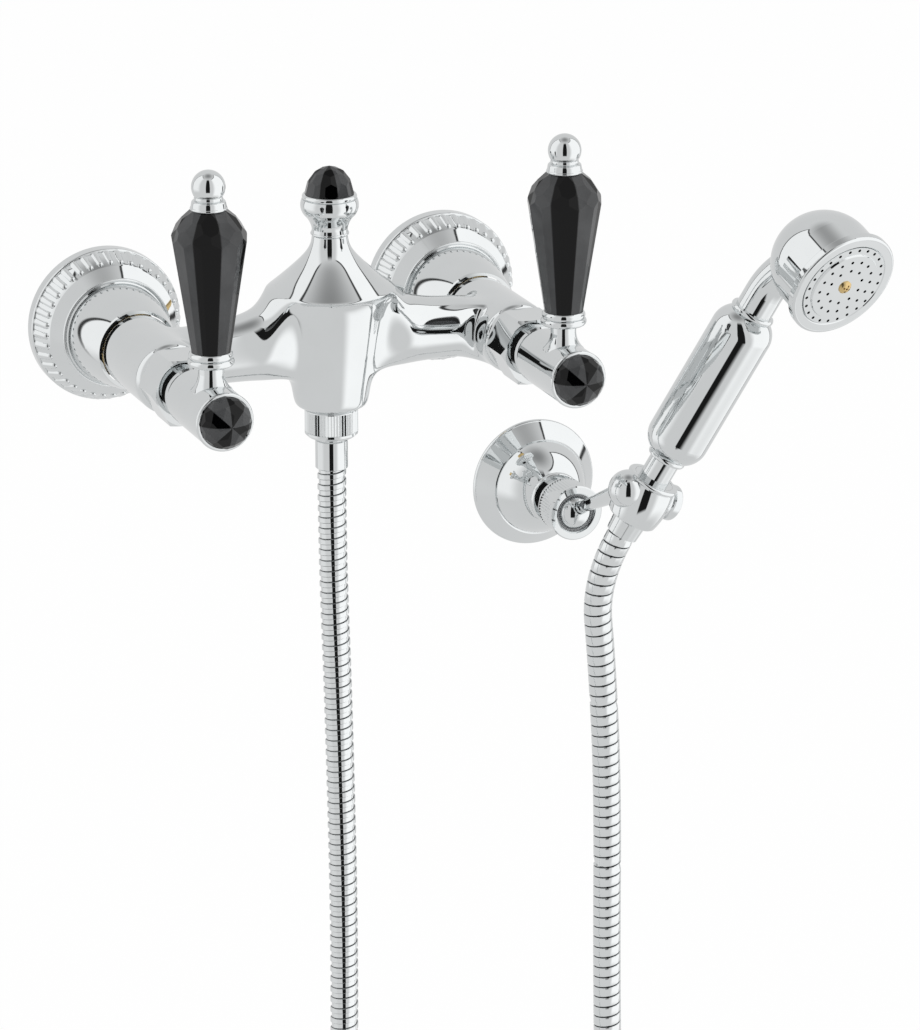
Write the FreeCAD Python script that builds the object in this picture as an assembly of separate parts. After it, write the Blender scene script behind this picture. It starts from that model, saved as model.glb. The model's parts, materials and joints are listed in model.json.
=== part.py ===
import FreeCAD, Part
import math
import os

# Wall-mounted shower mixer: two crystal levers, mixing vessel, ribbed hose, wall bracket and handset.
# Millimetres and degrees. X points right, -Y away from the wall, Z up.
# The origin lies on the wall, midway between the two water inlets.
# "Depth" is the distance in front of the wall, so depth 46 is y = -46.

Vector = FreeCAD.Vector

# Inlets and wall unions
inlet_spacing = 150.0
tail_radius = 10.48            # half-inch pipe thread, outside radius
tail_length = 14.0
union_hexagon = 24.0           # across flats
union_hexagon_length = 6.0
union_thread_radius = 12.6     # three-quarter-inch pipe thread, drawn at its pitch radius
union_length = 21.0
union_bore_radius = 7.5
washer_thickness = 2.0
thread_clearance = 0.03
loose_clearance = 0.3

# Union nut and nipple
nut_across_flats = 29.0
nut_engagement = 8.0
nut_lip = 3.0
nipple_radius = 10.5
nipple_collar_radius = 12.2
nipple_collar_length = 2.5
nipple_bore_radius = 7.0
nipple_thread_length = 11.0

# Wall flange
flange_radius = 32.4
flange_rim = 5.4               # depth of the plain rim
flange_slope_radius = 27.4     # where the gadrooned slope ends
flange_slope_depth = 14.0
flange_ridge_radius = 23.2
flange_ridge_depth = 20.0
bell_radius = 21.5
bell_wall = 1.6
bell_throat = 19.9             # radius half way along the bell
bell_throat_rise = 12.0        # of that place in front of the ridge
gadroon_count = 40
gadroon_radius = 1.95
gadroon_end_radius = 1.55
gadroon_inset = 2.3            # from the rim to the middle of a gadroon's outer end

# Valve tubes, arms and vessel
tube_radius = 15.2
tube_back = 46.0               # depth where the tube comes out of the flange
tube_front = 91.0
tube_nose = 3.2                # rounding of the front end
arm_depth = 69.5
arm_height = 1.0
arm_radius = 12.6
arm_bore_radius = 7.5
vessel_top_radius = 22.7
vessel_top = 22.5
vessel_foot_radius = 14.9
vessel_foot = -25.0
vessel_foot_round = 2.6
vessel_wall = 3.0
shoulder_radius = 25.3
# Flare from the arm into the vessel: distance from the vessel's axis, growth sideways, up and down
arm_flare = (
    (12.0, 1.0, 9.8, 9.4),
    (15.0, 0.8, 9.8, 8.4),
    (17.5, 0.4, 9.8, 5.8),
    (19.5, 0.2, 9.8, 3.0),
    (22.0, 0.1, 9.8, 1.0),
    (26.0, 0.0, 9.6, 0.2),
    (29.0, 0.0, 8.0, 0.0),
    (31.5, 0.0, 4.4, 0.0),
    (34.5, 0.0, 2.0, 0.0),
    (38.0, 0.0, 0.6, 0.0),
    (42.0, 0.0, 0.0, 0.0),
    (46.0, 0.0, 0.0, 0.0),
    (54.0, 0.0, 0.0, 0.0),
    (64.0, 0.0, 0.0, 0.0),
)

# Dome, finial and outlet
dome_seat = 24.0
dome_top = 47.6
dome_neck_radius = 7.4
dome_wall = 2.6
dome_edge = 2.6                # height of the dome's rolled edge
cap_spigot_length = 6.0
finial_thread_radius = 4.0
finial_thread_length = 8.0
finial_radius = 11.7
finial_crystal_radius = 10.0
finial_crystal_base = 64.6
finial_crystal_height = 11.4
outlet_thread_radius = 8.5
outlet_thread_length = 11.0
outlet_bore_radius = 6.0
hose_thread_radius = 9.9       # half-inch pipe thread, drawn at its pitch radius
hose_thread_length = 8.0

# Valve internals
seat_to_arm = 9.5              # from the valve seat's depth to the arms' axis
seal_thickness = 2.0
disc_thickness = 2.5
disc_radius = 8.5
disc_space = 10.0              # from the disc chamber's front end to the tube's front
cartridge_radius = 10.9
cartridge_wall = 1.9
cartridge_window_radius = 4.5
cartridge_neck_radius = 9.0
spindle_radius = 4.0
running_clearance = 0.05
bonnet_across_flats = 27.0
bonnet_length = 18.0
bonnet_ring_radius = 11.0
bonnet_ring_length = 3.0
bonnet_step_radius = 9.6
bonnet_step_length = 2.6

# Lever hub
hub_radius = 11.8
hub_gap = 0.4
hub_length = 35.0
hub_web = 4.0
hub_cavity_depth = 9.0
hub_cavity_radius = 9.0
hub_screw_radius = 2.0
hub_screw_length = 14.0
hub_screw_head_radius = 3.6
hub_screw_head_length = 2.6
cap_rim_length = 1.6
cap_plug_length = 4.5
hub_crystal_radius = 10.6
hub_crystal_height = 7.8
crystal_seat_depth = 0.8

# Lever stem, crystal and tip
stem_depth_in_hub = 20.7       # from the back of the hub to the stem's axis
stem_radius = 5.15
stem_flare_radius = 8.3
stem_flare_height = 9.0
stem_top = 19.3
collar_radius = 9.3
collar_step = 2.7
collar_upper_radius = 8.6
collar_length = 5.5
crystal_foot_radius = 7.6
crystal_length = 57.2
crystal_wide_radius = 14.8
crystal_wide_height = 47.4     # of the widest facet corners above the crystal's foot
crystal_turn = 14.0            # degrees that a facet is turned from the X axis
rod_radius = 2.4
rod_socket = 9.0
tip_collar_radius = 7.35
tip_collar_length = 3.7
tip_neck_radius = 5.5
tip_ball_radius = 6.7
tip_ball_rise = 9.0            # ball centre above the crystal's top

# Wall bracket
bracket_x = 119.5
bracket_z = -94.0
bracket_flange_radius = 28.0
bracket_step_radius = 21.4
bracket_step_depth = 9.0
bracket_bell_end = 24.0
bracket_wall = 1.6
bracket_bell_radius = 16.9     # half way along the bell
bracket_bell_rise = 8.0        # of that place in front of the step
bracket_collar_radius = 11.2
bracket_collar_length = 3.0
plate_radius = 19.0
plate_thickness = 3.0
screw_spacing = 28.0
screw_radius = 2.0
screw_shank_radius = 1.7       # plain shank through the base plate
screw_shank_length = 4.0
screw_head_radius = 3.8
screw_head_length = 2.2
screw_length = 30.0
post_radius = 9.5
ball_depth = 44.0
ball_radius = 7.8
cup_wall = 1.2
post_seat_gap = 3.4            # from the post's end to the ball centre
lock_nut_radius = 12.0
lock_nut_back = 33.0
lock_nut_front = 48.0
lock_nut_opening = 8.4
knurl_count = 56
knurl_depth = 0.35

# Swivel arm and holder
arm_heading = 5.53             # degrees to the right of straight out
arm_rise = 26.38               # degrees above level
arm_length = 52.81             # from ball centre to the holder's cross barrel
stud_neck_radius = 2.5
stud_neck_end = 11.0
rod_end_radius = 4.25
socket_thread_length = 6.0
handset_heading = 60.1
handset_rise = 61.65
knob_roll = -57.4              # about the handset's axis
face_roll = -133.9
holder_offset = 9.0            # from the arm's end to the handset's axis
holder_radius = 11.6
holder_top = -12.0             # along the handset's axis, from the foot of the grip
holder_height = 20.0
holder_rim_radius = 11.3
cross_radius = 8.3
cross_back = -17.0             # domed end of the cross barrel
cross_front = 10.4
cross_rise = 1.8               # of the cross barrel above the middle of the socket
knob_radius = 7.7
knob_length = 4.6
knob_shaft_radius = 2.5
knob_shaft_gap = 0.6            # from the shaft's end to the hose cone
knob_gap = 0.3

# Hose cone
cone_top_radius = 8.7
cone_foot_radius = 6.9
cone_length = 28.0
cone_gap = 0.06
cone_thread_radius = 6.0
cone_thread_length = 9.0

# Handset
grip_radius = 13.25
grip_length = 71.0
grip_round = 9.0
grip_ring_radius = 8.0
grip_ring_length = 1.8
grip_neck_radius = 6.5
grip_bore_radius = 4.0
grip_collar_radius = 9.6
grip_collar_length = 2.2
head_neck_radius = 8.0
neck_straight = 8.0
neck_bend_radius = 30.0
neck_bend = 35.0
neck_run_in = 9.0
neck_rise = 27.8               # of the head centre above the neck's straight run
head_forward = 19.5            # head centre in front of that axis
head_radius = 22.0
head_depth = 12.0              # from head centre to the back of the face ring
head_wall = 2.0
face_tilt = 5.0                # the face looks this much below square
face_ring_radius = 24.4
face_ring_thickness = 4.0
face_ring_inner = 19.4
spray_step_radius = 15.6
spray_thickness = 2.0
gasket_thickness = 1.0
hole_rings = ((18.0, 24), (12.6, 16), (8.2, 10))
hole_radius = 0.7
spray_screw_radius = 1.5
spray_screw_head_radius = 2.9
spray_screw_head_length = 1.4
spray_boss_radius = 4.0

# Hose and its upper fittings
hose_radius = 6.0
hose_bore_radius = 4.0
hose_groove_depth = 0.55
hose_rib_count = 190
hose_groove_share = 0.2        # of the pitch
hose_nut_radius = 11.0
hose_nut_gap = 1.0             # below the vessel
hose_nut_lip = 1.5
hose_washer_thickness = 1.5
ferrule_radius = 6.75
ferrule_neck_radius = 6.2
ferrule_neck_length = 1.5
ferrule_flange_radius = 9.2
ferrule_flange_thickness = 1.0
ferrule_length = 14.0          # visible below the nut

# Route of the hose between its two fittings, chosen by hand; x, y, z
hose_middle = (
    (0.0, -69.5, -90.0),
    (2.2, -69.8, -160.0),
    (3.9, -70.6, -275.0),
    (1.2, -71.6, -400.0),
    (-3.0, -72.6, -505.0),
    (-5.6, -73.2, -560.0),
    (19.5, -74.0, -597.5),
    (61.0, -74.8, -611.5),
    (103.0, -75.4, -599.5),
    (130.0, -75.8, -563.0),
    (129.4, -76.0, -508.0),
    (126.0, -76.0, -405.0),
    (123.2, -76.0, -300.0),
    (122.8, -76.4, -210.0),
    (119.0, -77.6, -152.0),
)
hose_last_run = 24.0           # straight out of the cone

# Values that follow from the sizes above
valve_x = inlet_spacing / 2
seat_depth = arm_depth - seat_to_arm
down = Vector(0, 0, -1)
up = Vector(0, 0, 1)
outward = Vector(0, -1, 0)
sideways = Vector(1, 0, 0)


# Basic shapes, made on the Z axis
def outline_face(points):
    """Face in the XZ plane: (r, z) ends a straight edge, (rm, zm, r, z) an arc through rm, zm."""
    edges = []
    here = Vector(points[0][-2], 0, points[0][-1])
    for point in list(points[1:]) + [points[0][-2:]]:
        there = Vector(point[-2], 0, point[-1])
        if len(point) == 4:
            edges.append(Part.Arc(here, Vector(point[0], 0, point[1]), there).toShape())
        elif here.distanceToPoint(there) > 1e-6:
            edges.append(Part.makeLine(here, there))
        here = there
    return Part.Face(Part.Wire(edges))


def turned(*points):
    """Solid of revolution about Z from a closed outline of radii and heights."""
    return outline_face(points).revolve(Vector(0, 0, 0), up, 360)


def bar(radius, low, high):
    return Part.makeCylinder(radius, high - low, Vector(0, 0, low))


def tube(outer, inner, low, high):
    return bar(outer, low, high).cut(bar(inner, low - 1, high + 1))


def polygon_bar(corner_radii, low, high):
    """Prism whose corners lie at the given radii, evenly spaced from the X axis."""
    step = 2 * math.pi / len(corner_radii)
    corners = []
    for number, radius in enumerate(corner_radii):
        corners.append(Vector(radius * math.cos(number * step), radius * math.sin(number * step), low))
    corners.append(corners[0])
    return Part.Face(Part.makePolygon(corners)).extrude(Vector(0, 0, high - low))


def hexagon_bar(across_flats, low, high, chamfer):
    """Hexagon with a corner on the X axis, its corners turned off at both ends."""
    corner = across_flats / math.sqrt(3)
    rough = polygon_bar([corner] * 6, low, high)
    cone = turned((0, low), (corner - chamfer, low), (corner, low + chamfer), (corner, high - chamfer),
                  (corner - chamfer, high), (0, high))
    return rough.common(cone)


def knurled(shape, radius, low, high):
    """Cuts fine grooves along Z into a turned shape between two heights."""
    radii = [radius + 0.02, radius - knurl_depth] * knurl_count
    star = polygon_bar(radii, low, high)
    ring = tube(radius + 1, radius - 1, low, high)
    return shape.cut(ring.cut(star))


def stood(shape, base, axis):
    """Turns a shape made along Z so that it runs along an axis from a base point."""
    placed = shape.copy()
    placed.Placement = FreeCAD.Placement(base, FreeCAD.Rotation(up, axis)).multiply(shape.Placement)
    return placed


def framed(shape, base, x_axis, z_axis):
    """Places a shape by the directions that its own X and Z axes take."""
    placed = shape.copy()
    y_axis = z_axis.cross(x_axis)
    turn = FreeCAD.Rotation(x_axis, y_axis, z_axis, "ZXY")
    placed.Placement = FreeCAD.Placement(base, turn).multiply(shape.Placement)
    return placed


def at_valve(shape, side):
    """Places a shape made along the depth axis on the left (-1) or right (1) valve."""
    return stood(shape, Vector(side * valve_x, 0, 0), outward)


def faceted(blank, rows):
    """Cuts rows of flat facets: count, first angle, tilt, and the radius and height that they pass."""
    size = 200.0
    block = Part.makeBox(size, size, size, Vector(-size / 2, -size / 2, 0))
    for count, first, tilt, radius, height in rows:
        for number in range(count):
            turn = math.radians(first + number * 360.0 / count)
            lean = math.radians(tilt)
            normal = Vector(math.cos(lean) * math.cos(turn), math.cos(lean) * math.sin(turn), math.sin(lean))
            point = Vector(radius * math.cos(turn), radius * math.sin(turn), height)
            blank = blank.cut(stood(block, point, normal))
    return blank


# Depths and heights shared by pieces that meet
washer_front = union_length + washer_thickness
collar_front = washer_front + nipple_collar_length
nut_front = collar_front + nut_lip
fixed_disc_back = seat_depth + seal_thickness
turning_disc_back = fixed_disc_back + disc_thickness
turning_disc_front = turning_disc_back + disc_thickness
bonnet_front = tube_front + bonnet_length
gland_front = bonnet_front + bonnet_ring_length + bonnet_step_length
hub_back = gland_front + hub_gap
hub_front = hub_back + hub_length
web_front = hub_front - hub_cavity_depth
spindle_front = web_front - hub_web
lever_depth = hub_back + stem_depth_in_hub
crystal_foot = stem_top + collar_length
crystal_top = crystal_foot + crystal_length
ball_centre = crystal_top + tip_ball_rise
nipple_foot = vessel_foot - hose_nut_gap - hose_thread_length
washer_foot = nipple_foot - hose_washer_thickness
flange_foot = washer_foot - ferrule_flange_thickness
hose_nut_foot = flange_foot - hose_nut_lip
hose_start = Vector(0, -arm_depth, hose_nut_foot - ferrule_length)
cavity_end = tube_front - disc_space
head_height = grip_length + grip_collar_length + neck_straight + neck_rise


# Wall unions
def inlet_union():
    tail = bar(tail_radius, -tail_length, 0)
    hexagon = hexagon_bar(union_hexagon, 0, union_hexagon_length, 0.8)
    neck = bar(tail_radius, union_hexagon_length, union_length)
    thread = bar(union_thread_radius, union_length - nut_engagement - 1, union_length)
    bore = bar(union_bore_radius, -tail_length - 1, union_length + 1)
    return tail.fuse([hexagon, neck, thread]).cut(bore).removeSplitter()


def union_nut():
    back = union_length - nut_engagement
    nut = hexagon_bar(nut_across_flats, back, nut_front, 1.0)
    nut = nut.cut(bar(union_thread_radius + thread_clearance, back - 1, collar_front))
    return nut.cut(bar(nipple_radius + loose_clearance, back, nut_front + 1))


def inlet_nipple():
    collar = bar(nipple_collar_radius, washer_front, collar_front)
    stem = bar(nipple_radius, washer_front, tube_back + nipple_thread_length)
    bore = bar(nipple_bore_radius, washer_front - 1, tube_back + nipple_thread_length + 1)
    return collar.fuse(stem).cut(bore).removeSplitter()


def union_washer():
    return tube(nipple_collar_radius, nipple_bore_radius, union_length, washer_front)


def wall_flange():
    """Bell flange: plain rim, gadrooned slope, raised ridge and inner bell round the union nut."""
    slope_radius = flange_slope_radius
    slope_depth = flange_slope_depth
    hole = tube_radius + loose_clearance
    lip = hole + bell_wall
    ridge = flange_ridge_radius
    top = flange_ridge_depth
    shell = turned(
        (flange_radius - bell_wall, 0),
        (flange_radius, 0),
        (flange_radius, flange_rim - 1.0),
        (flange_radius - 0.3, flange_rim - 0.3, flange_radius - 1.0, flange_rim),
        ((flange_radius + slope_radius) / 2 - 0.2, (flange_rim + slope_depth) / 2 + 0.4,
         slope_radius, slope_depth),
        (ridge, top - 1.6),
        (ridge - 0.5, top - 0.4, ridge - 1.2, top - 0.7),
        (bell_radius - 0.1, top - 0.2),
        (bell_throat, top + bell_throat_rise, lip, tube_back - 1.0),
        (lip - 0.4, tube_back),
        (hole, tube_back),
        (hole, tube_back - 2.0),
        (bell_throat - bell_wall, top + bell_throat_rise - 0.5, bell_radius - bell_wall - 0.2, top),
        (slope_radius - bell_wall - 0.6, slope_depth - 0.9),
        (flange_radius - bell_wall - 0.4, flange_rim - 1.2),
    )
    start = Vector(flange_radius - gadroon_inset, 0, flange_rim + 0.3 * gadroon_inset)
    run = Vector(slope_radius + 0.5 * gadroon_end_radius, 0, slope_depth - 1.35 * gadroon_end_radius) - start
    rib = Part.makeCone(gadroon_radius, gadroon_end_radius, run.Length)
    rib = rib.fuse([Part.makeSphere(gadroon_radius), Part.makeSphere(gadroon_end_radius, Vector(0, 0, run.Length))])
    rib = stood(rib, start, run)
    ribs = []
    for number in range(gadroon_count):
        copy = rib.copy()
        copy.rotate(Vector(0, 0, 0), up, number * 360.0 / gadroon_count)
        ribs.append(copy)
    hollow = turned(
        (0, -5),
        (flange_radius - bell_wall, -5),
        (flange_radius - bell_wall, 0),
        (flange_radius - bell_wall - 0.4, flange_rim - 1.2),
        (slope_radius - bell_wall - 0.6, slope_depth - 0.9),
        (bell_radius - bell_wall - 0.2, top),
        (0, top),
    )
    return shell.fuse(ribs).cut(hollow)


# Mixer body
def vessel():
    """Tapered mixing vessel with a rounded foot, made on its own axis."""
    foot = vessel_foot
    edge = vessel_foot_round
    slope = (vessel_top_radius - vessel_foot_radius) / (vessel_top - foot)
    side_radius = vessel_foot_radius + slope * edge
    return turned(
        (0, foot),
        (vessel_foot_radius - edge, foot),
        (vessel_foot_radius - 0.3 * edge, foot + 0.3 * edge, side_radius, foot + edge),
        (vessel_top_radius, vessel_top),
        (0, vessel_top),
    )


def vessel_hollow():
    slope = (vessel_top_radius - vessel_foot_radius) / (vessel_top - vessel_foot)
    floor = vessel_foot + outlet_thread_length
    floor_radius = vessel_foot_radius + slope * outlet_thread_length - vessel_wall
    mouth = vessel_top_radius - vessel_wall
    mouth_floor = dome_seat - cap_spigot_length - loose_clearance
    return turned(
        (0, floor),
        (floor_radius, floor),
        (mouth - 1.5, mouth_floor),
        (mouth, mouth_floor),
        (mouth, dome_seat + 1),
        (0, dome_seat + 1),
    )


def arm_ring(place, sideways_growth, rise, drop):
    """Closed curve round the right arm: half an ellipse above its axis and half another one below."""
    ring = []
    corners = 24
    width = arm_radius + sideways_growth
    for number in range(corners):
        turn = 2 * math.pi * number / corners
        reach = arm_radius + (rise if math.sin(turn) > 0 else drop)
        ring.append(Vector(place, -arm_depth + width * math.cos(turn), arm_height + reach * math.sin(turn)))
    curve = Part.BSplineCurve()
    curve.interpolate(Points=ring, PeriodicFlag=True)
    return Part.Wire([curve.toShape()])


def mixer_body():
    vessel_base = Vector(0, -arm_depth, 0)
    body = stood(vessel(), vessel_base, up)
    half = valve_x
    rings = [arm_ring(*growth) for growth in arm_flare] + [arm_ring(half, 0, 0, 0)]
    arm = Part.makeLoft(rings, True, False)
    for turn in (0, 180):
        placed_arm = arm.copy()
        placed_arm.rotate(vessel_base, up, turn)
        body = body.fuse(placed_arm)
    shoulder = turned(
        (0, vessel_top),
        (vessel_top_radius, vessel_top),
        (shoulder_radius - 0.6, vessel_top + 0.2, shoulder_radius, dome_seat),
        (0, dome_seat),
    )
    body = body.fuse(stood(shoulder, vessel_base, up))
    nose = tube_nose
    valve = turned(
        (0, tube_back),
        (tube_radius, tube_back),
        (tube_radius, tube_front - nose),
        (tube_radius - 0.3 * nose, tube_front - 0.3 * nose, tube_radius - nose, tube_front),
        (0, tube_front),
    )
    valve_bore = bar(nipple_radius + thread_clearance, tube_back - 1, tube_back + nipple_thread_length)
    valve_bore = valve_bore.fuse([
        bar(nipple_bore_radius, tube_back, seat_depth + 1),
        bar(cartridge_radius + thread_clearance, seat_depth, tube_front + 1),
    ])
    for side in (-1, 1):
        body = body.fuse(at_valve(valve, side))
    body = body.removeSplitter()
    water_way = bar(arm_bore_radius, -half, half)
    body = body.cut(stood(water_way, Vector(0, -arm_depth, arm_height), sideways))
    body = body.cut(stood(vessel_hollow(), vessel_base, up))
    outlet = bar(outlet_thread_radius + thread_clearance, vessel_foot - 1, vessel_foot + outlet_thread_length + 1)
    body = body.cut(stood(outlet, vessel_base, up))
    for side in (-1, 1):
        body = body.cut(at_valve(valve_bore, side))
    return body


def dome_cap():
    """Concave dome on the vessel, with a spigot inside the vessel's mouth."""
    seat = dome_seat
    top = dome_top
    neck = dome_neck_radius
    spigot = vessel_top_radius - vessel_wall - thread_clearance
    dome = turned(
        (0, seat - cap_spigot_length),
        (spigot, seat - cap_spigot_length),
        (spigot, seat),
        (shoulder_radius, seat),
        (shoulder_radius + 0.3, seat + 0.5 * dome_edge, shoulder_radius - 0.9, seat + dome_edge),
        (18.7, seat + 7.9),
        (12.6, seat + 13.0, neck, top - 2.2),
        (neck - 0.1, top),
        (0, top),
    )
    hollow = turned(
        (0, seat - cap_spigot_length - 1),
        (spigot - dome_wall, seat - cap_spigot_length - 1),
        (spigot - dome_wall, seat + 1.0),
        (12.0, seat + 6.0),
        (0, seat + 9.0),
    )
    thread = bar(finial_thread_radius + thread_clearance, top - finial_thread_length, top + 1)
    return stood(dome.cut(hollow).cut(thread), Vector(0, -arm_depth, 0), up)


def finial_cup():
    base = dome_top
    neck = dome_neck_radius
    rim = finial_crystal_base
    cup = turned(
        (0, base - finial_thread_length),
        (finial_thread_radius, base - finial_thread_length),
        (finial_thread_radius, base),
        (neck + 0.3, base),
        (neck + 0.5, base + 0.5, neck + 0.1, base + 1.0),
        (neck - 0.1, base + 2.4),
        (neck + 0.9, base + 5.4, finial_radius - 1.3, base + 8.2),
        (finial_radius + 0.2, base + 12.0, finial_radius - 0.4, rim - 2.0),
        (finial_radius - 0.8, rim - 2.0),
        (finial_radius - 0.6, rim - 0.6, finial_radius - 1.2, rim),
        (finial_crystal_radius + running_clearance, rim),
        (finial_crystal_radius + running_clearance, rim - crystal_seat_depth),
        (0, rim - crystal_seat_depth),
    )
    return stood(cup, Vector(0, -arm_depth, 0), up)


def rose_cut(radius, height, base):
    """Round crystal with a short belt, a girdle of triangles, a row of kites and a top pyramid."""
    blank = bar(radius, base, base + height)
    rows = (
        (12, crystal_turn, 14, radius * 0.985, base + crystal_seat_depth + 0.2),
        (12, crystal_turn + 15, 36, radius * 0.87, base + 0.48 * height),
        (6, crystal_turn, 57, radius * 0.56, base + 0.80 * height),
        (6, crystal_turn + 30, 72, radius * 0.24, base + 0.945 * height),
    )
    return faceted(blank, rows)


def finial_crystal():
    crystal = rose_cut(finial_crystal_radius, finial_crystal_height + crystal_seat_depth,
                       finial_crystal_base - crystal_seat_depth)
    return stood(crystal, Vector(0, -arm_depth, 0), up)


def outlet_nipple():
    upper = bar(outlet_thread_radius, vessel_foot, vessel_foot + outlet_thread_length)
    lower = bar(hose_thread_radius, nipple_foot, vessel_foot)
    bore = bar(outlet_bore_radius, nipple_foot - 1, vessel_foot + outlet_thread_length + 1)
    return stood(upper.fuse(lower).cut(bore), Vector(0, -arm_depth, 0), up)


# Valve internals and bonnet
def bonnet():
    hexagon = hexagon_bar(bonnet_across_flats, tube_front, bonnet_front, 1.6)
    ring_front = bonnet_front + bonnet_ring_length
    rings = turned(
        (0, bonnet_front),
        (bonnet_ring_radius, bonnet_front),
        (bonnet_ring_radius, ring_front - 0.8),
        (bonnet_ring_radius - 0.8, ring_front),
        (bonnet_step_radius, ring_front),
        (bonnet_step_radius, gland_front - 0.6),
        (bonnet_step_radius - 0.6, gland_front),
        (0, gland_front),
    )
    solid = hexagon.fuse(rings)
    solid = solid.cut(bar(cartridge_neck_radius + thread_clearance, tube_front - 1, bonnet_front))
    return solid.cut(bar(spindle_radius + loose_clearance, tube_front, gland_front + 1))


def valve_cartridge():
    neck_end = bonnet_front - 0.4
    sleeve = bar(cartridge_radius, seat_depth, tube_front).fuse(bar(cartridge_neck_radius, tube_front, neck_end))
    sleeve = sleeve.cut(bar(cartridge_radius - cartridge_wall, seat_depth - 1, cavity_end))
    sleeve = sleeve.cut(bar(spindle_radius + running_clearance, seat_depth, neck_end + 1))
    window = bar(cartridge_window_radius, -valve_x, valve_x)
    return sleeve.cut(stood(window, Vector(0, 0, arm_depth), sideways))


def seat_seal():
    return tube(disc_radius, nipple_bore_radius - 0.5, seat_depth, fixed_disc_back)


def ceramic_disc(back):
    port = bar(disc_radius * 0.3, back - 1, back + disc_thickness + 1)
    port.translate(Vector(disc_radius * 0.5, 0, 0))
    return bar(disc_radius, back, back + disc_thickness).cut(port)


def valve_spindle():
    """Spindle with a foot on the turning disc, a stop collar and a screw hole in its front end."""
    spindle = bar(spindle_radius, turning_disc_front, spindle_front)
    foot = bar(disc_radius * 0.6, turning_disc_front, turning_disc_front + 2)
    stop = bar(spindle_radius + 2, cavity_end - 2.3, cavity_end - loose_clearance)
    hole = bar(hub_screw_radius + thread_clearance, spindle_front - hub_screw_length, spindle_front + 1)
    return spindle.fuse([foot, stop]).cut(hole)


# Lever, made on the valve axis with the stem pointing up
def lever_hub():
    edge = 1.0
    hub = turned(
        (0, hub_back),
        (hub_radius - edge, hub_back),
        (hub_radius, hub_back + edge),
        (hub_radius, hub_front),
        (0, hub_front),
    )
    hub = stood(hub, Vector(0, 0, 0), outward)
    middle = (stem_radius + stem_flare_radius) / 2 - 0.8
    stem = turned(
        (0, 0),
        (stem_flare_radius, 0),
        (stem_flare_radius, stem_flare_height),
        (middle, (stem_flare_height + hub_radius + 4) / 2, stem_radius, hub_radius + 4),
        (stem_radius, stem_top),
        (0, stem_top),
    )
    hub = hub.fuse(stood(stem, Vector(0, -lever_depth, 0), up))
    inner = bar(spindle_radius, hub_back - 1, spindle_front)
    inner = inner.fuse([
        bar(hub_screw_radius + loose_clearance, spindle_front - 1, web_front + 1),
        bar(hub_cavity_radius + thread_clearance, web_front, hub_front + 1),
    ])
    hub = hub.cut(stood(inner, Vector(0, 0, 0), outward))
    socket = bar(rod_radius + thread_clearance, stem_top - rod_socket, stem_top + 1)
    return hub.cut(stood(socket, Vector(0, -lever_depth, 0), up))


def hub_screw():
    shank = bar(hub_screw_radius, web_front - hub_screw_length, web_front)
    head = bar(hub_screw_head_radius, web_front, web_front + hub_screw_head_length)
    socket = polygon_bar([1.8] * 6, web_front + 0.8, web_front + hub_screw_head_length + 1)
    return stood(shank.fuse(head).cut(socket), Vector(0, 0, 0), outward)


def hub_cap():
    """Screwed bezel with a shallow seat for the crystal."""
    rim_front = hub_front + cap_rim_length
    seat = hub_crystal_radius + running_clearance
    cap = turned(
        (0, hub_front - cap_plug_length),
        (hub_cavity_radius, hub_front - cap_plug_length),
        (hub_cavity_radius, hub_front),
        (hub_radius, hub_front),
        (hub_radius + 0.15, hub_front + 0.5 * cap_rim_length, hub_radius - 0.5, rim_front),
        (seat, rim_front),
        (seat, rim_front - crystal_seat_depth),
        (0, rim_front - crystal_seat_depth),
    )
    return stood(cap, Vector(0, 0, 0), outward)


def hub_crystal():
    base = hub_front + cap_rim_length - crystal_seat_depth
    return stood(rose_cut(hub_crystal_radius, hub_crystal_height + crystal_seat_depth, base),
                 Vector(0, 0, 0), outward)


def on_stem(shape):
    return stood(shape, Vector(0, -lever_depth, 0), up)


def lever_collar():
    step = stem_top + collar_step
    collar = turned(
        (rod_radius + loose_clearance, stem_top),
        (collar_radius - 0.7, stem_top),
        (collar_radius, (stem_top + step) / 2, collar_radius - 0.7, step),
        (collar_upper_radius - 0.3, step),
        (collar_upper_radius + 0.2, (step + crystal_foot) / 2, collar_upper_radius - 0.6, crystal_foot),
        (rod_radius + loose_clearance, crystal_foot),
    )
    return on_stem(collar)


def lever_crystal():
    """Twelve-sided tapered baluster with three rows of crown facets and a flat table."""
    foot = crystal_foot
    top = crystal_top
    wide = foot + crystal_wide_height
    blank = bar(crystal_wide_radius + 2, foot, top)
    taper = math.degrees(math.atan((crystal_wide_radius - crystal_foot_radius) / crystal_wide_height))
    turn = crystal_turn
    rows = (
        (12, turn, -taper, crystal_foot_radius, foot),
        (12, turn + 15, 15, crystal_wide_radius * 0.97, wide - 0.6),
        (6, turn + 30, 33, crystal_wide_radius * 0.955, wide + 1.2),
        (6, turn, 42, crystal_wide_radius * 0.90, wide + 3.1),
        (6, turn + 30, 52, crystal_wide_radius * 0.72, wide + 6.6),
    )
    crystal = faceted(blank, rows)
    return on_stem(crystal.cut(bar(rod_radius + loose_clearance, foot - 1, top + 1)))


def lever_rod():
    return on_stem(bar(rod_radius, stem_top - rod_socket + 0.5, crystal_top + tip_collar_length + 2))


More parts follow.
